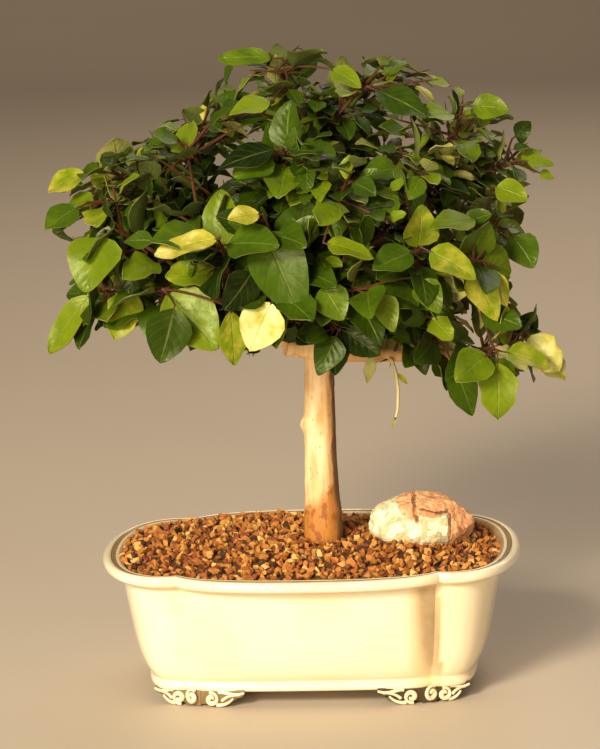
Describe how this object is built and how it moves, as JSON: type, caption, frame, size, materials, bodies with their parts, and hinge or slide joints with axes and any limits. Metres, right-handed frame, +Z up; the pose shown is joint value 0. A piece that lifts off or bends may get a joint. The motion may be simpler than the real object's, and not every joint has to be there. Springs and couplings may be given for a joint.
{
  "type": "bonsai tree in a pot",
  "caption": "Small broadleaf bonsai with a straight trunk and a rounded crown of leafy sprays, in a lobed, footed, glazed pot with gravel soil and a stone.",
  "frame": {"origin": "middle of the whole plant's box, on the surface that the feet stand on", "axes": "+Z up along the trunk, +X along the pot's long side to the right, -Y towards the front"},
  "size_m": [0.2468, 0.223, 0.3201],
  "materials": {
    "glaze": "gloss",
    "gravel": "matte",
    "netting": "matte",
    "quartz": "satin",
    "bark": "matte",
    "leaf": "satin"
  },
  "bodies": {
    "root": {"pot": "glaze", "soil": "gravel", "drain_mesh_left": "netting", "drain_mesh_right": "netting", "accent_stone": "quartz", "trunk_and_limbs": "bark", "spray_01": "leaf", "spray_02": "leaf", "spray_03": "leaf", "spray_04": "leaf", "spray_05": "leaf", "spray_06": "leaf", "spray_07": "leaf", "spray_08": "leaf", "spray_09": "leaf", "spray_10": "leaf", "spray_11": "leaf", "spray_12": "leaf", "spray_13": "leaf", "spray_14": "leaf", "spray_15": "leaf", "spray_16": "leaf", "spray_17": "leaf", "spray_18": "leaf", "spray_19": "leaf", "spray_20": "leaf", "spray_21": "leaf", "spray_22": "leaf", "spray_23": "leaf", "spray_24": "leaf", "spray_25": "leaf", "spray_26": "leaf", "spray_27": "leaf", "spray_28": "leaf", "spray_29": "leaf", "spray_30": "leaf", "spray_31": "leaf", "spray_32": "leaf", "spray_33": "leaf", "spray_34": "leaf", "spray_35": "leaf", "spray_36": "leaf", "spray_37": "leaf", "spray_38": "leaf", "spray_39": "leaf"}
  },
  "joints": []
}
